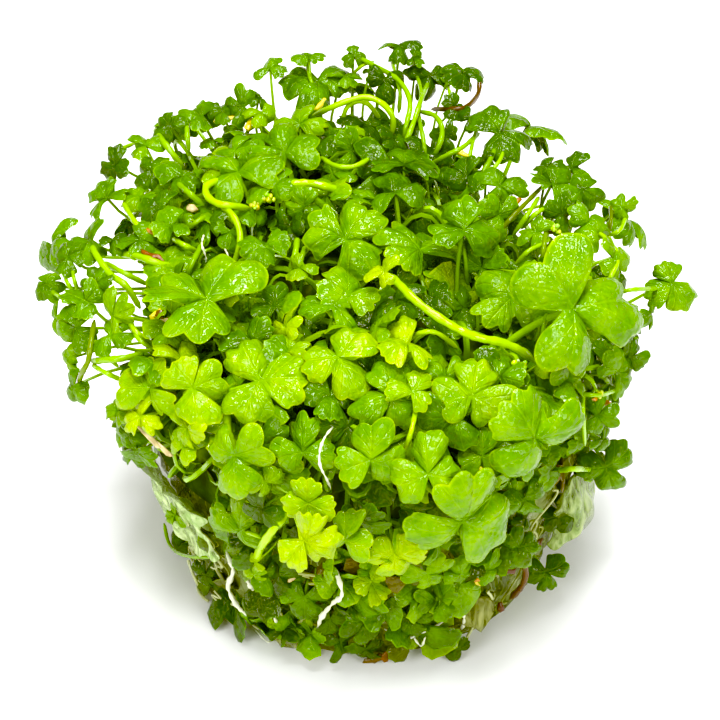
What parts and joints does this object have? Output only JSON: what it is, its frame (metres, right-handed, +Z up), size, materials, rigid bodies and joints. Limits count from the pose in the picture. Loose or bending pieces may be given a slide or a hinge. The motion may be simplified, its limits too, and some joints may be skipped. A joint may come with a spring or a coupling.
{
  "type": "small-leaved pennywort aquarium plant portion",
  "caption": "Round plug of roots and gel with a dense flat-topped cushion of small three-lobed pennywort leaves.",
  "frame": {"origin": "centre of the plug's flat underside", "axes": "+Z up through the plug, -Y towards the side seen first, +X to the right of it"},
  "size_m": [0.0794, 0.0795, 0.0572],
  "materials": {
    "leaf": "glossy wet green leaf blade, lit parts lime green",
    "small_leaves": "dense mass of small wet green leaves with dark hollows",
    "stem": "smooth wet lime-green stem",
    "roots": "moulded tangle of white roots, gel and pressed leaves",
    "jelly": "clear whitish wet culture gel"
  },
  "bodies": {
    "root": {"jelly_left": "jelly", "jelly_right": "jelly", "leaf_01": "leaf", "leaf_02": "leaf", "leaf_03": "leaf", "leaf_04": "leaf", "leaf_05": "leaf", "leaf_06": "leaf", "leaf_07": "leaf", "leaf_08": "leaf", "leaf_09": "leaf", "leaf_10": "leaf", "leaf_11": "leaf", "leaf_12": "leaf", "leaf_13": "leaf", "leaf_14": "leaf", "leaf_15": "leaf", "leaf_16": "leaf", "leaf_17": "leaf", "leaf_18": "leaf", "leaf_19": "leaf", "leaf_20": "leaf", "leaf_21": "leaf", "leaf_22": "leaf", "leaf_23": "leaf", "leaf_24": "leaf", "leaf_25": "leaf", "leaf_26": "leaf", "leaf_27": "leaf", "leaf_28": "leaf", "leaf_29": "leaf", "leaf_30": "leaf", "leaf_31": "leaf", "leaf_32": "leaf", "leaf_33": "leaf", "leaf_34": "leaf", "leaf_35": "leaf", "leaf_36": "leaf", "leaf_37": "leaf", "leaf_38": "leaf", "leaf_39": "leaf", "leaf_40": "leaf", "leaf_41": "leaf", "leaf_42": "leaf", "leaf_43": "leaf", "leaf_44": "leaf", "leaf_cushion": "small_leaves", "leaf_far_01": "leaf", "leaf_far_02": "leaf", "leaf_far_03": "leaf", "leaf_far_04": "leaf", "leaf_far_05": "leaf", "leaf_far_06": "leaf", "leaf_far_07": "leaf", "leaf_far_08": "leaf", "leaf_far_09": "leaf", "rooted_plug": "roots", "runner_middle": "stem", "runner_top": "stem"}
  },
  "joints": []
}
